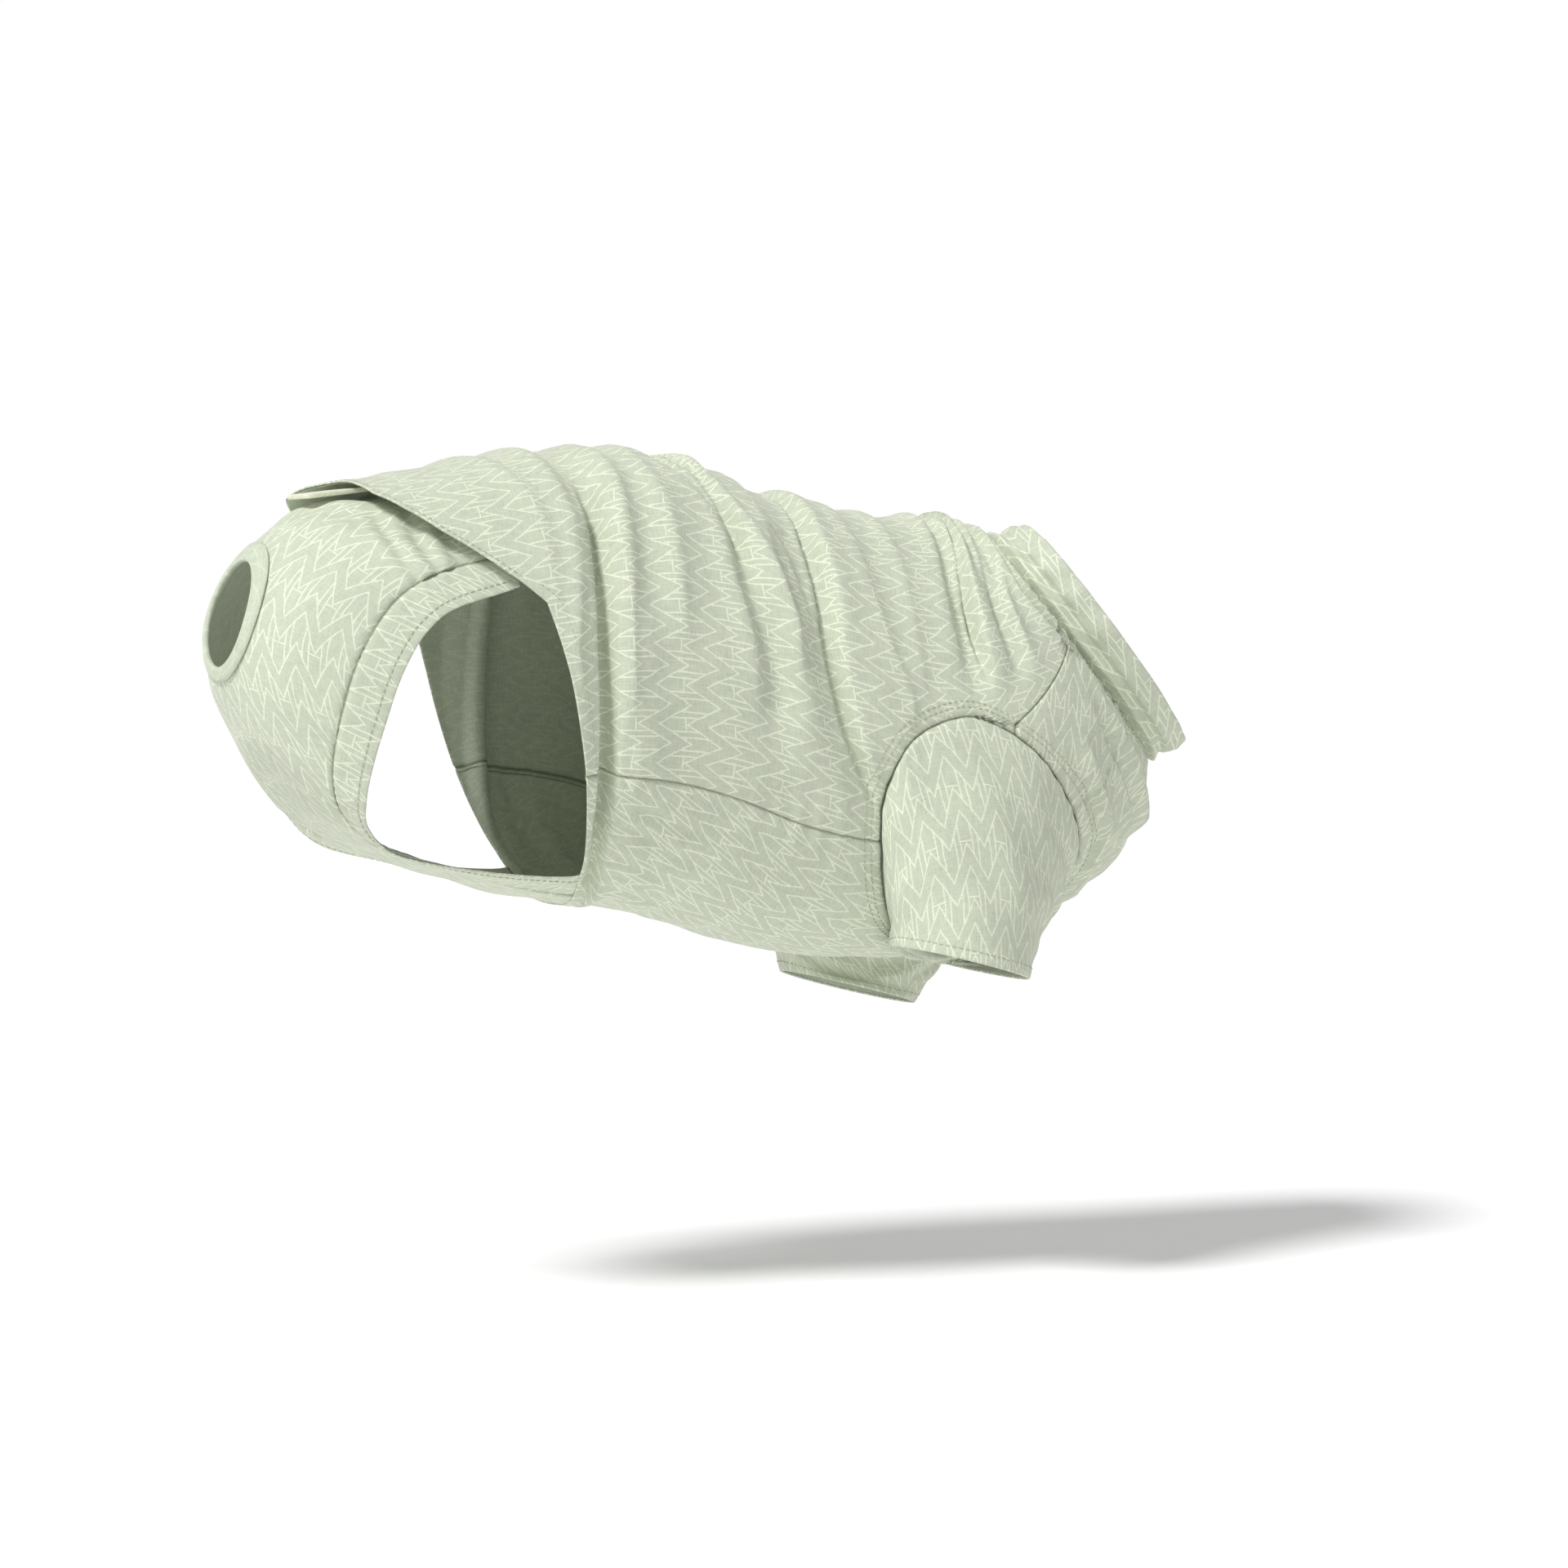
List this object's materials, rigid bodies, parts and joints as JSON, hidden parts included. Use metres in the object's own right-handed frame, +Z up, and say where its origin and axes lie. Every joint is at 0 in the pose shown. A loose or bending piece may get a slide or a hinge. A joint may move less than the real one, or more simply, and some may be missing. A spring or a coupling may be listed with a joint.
{
  "type": "dog jumpsuit",
  "caption": "One-piece cloth suit for a small dog in its worn form, with short sleeves, a collar, leg openings, a tail hole and a rear flap.",
  "frame": {"origin": "on the middle plane at the level of the inner back line, above the middle of the trunk, where the wearer's back carries the suit", "axes": "+X towards the wearer's head, +Y to the wearer's left, +Z up"},
  "size_m": [0.4904, 0.183, 0.2562],
  "materials": {
    "print_cloth": "matte woven cotton with a fine pale line print",
    "closure_cloth": "matte pale hook-and-loop tape"
  },
  "bodies": {
    "root": {"back_panel": "print_cloth", "belly_panel": "print_cloth", "chest_panel": "print_cloth", "collar": "print_cloth", "sleeve_right": "print_cloth", "sleeve_left": "print_cloth", "rump_panel": "print_cloth", "leg_band_right": "print_cloth", "leg_band_left": "print_cloth", "closure_tab": "closure_cloth"}
  },
  "joints": []
}
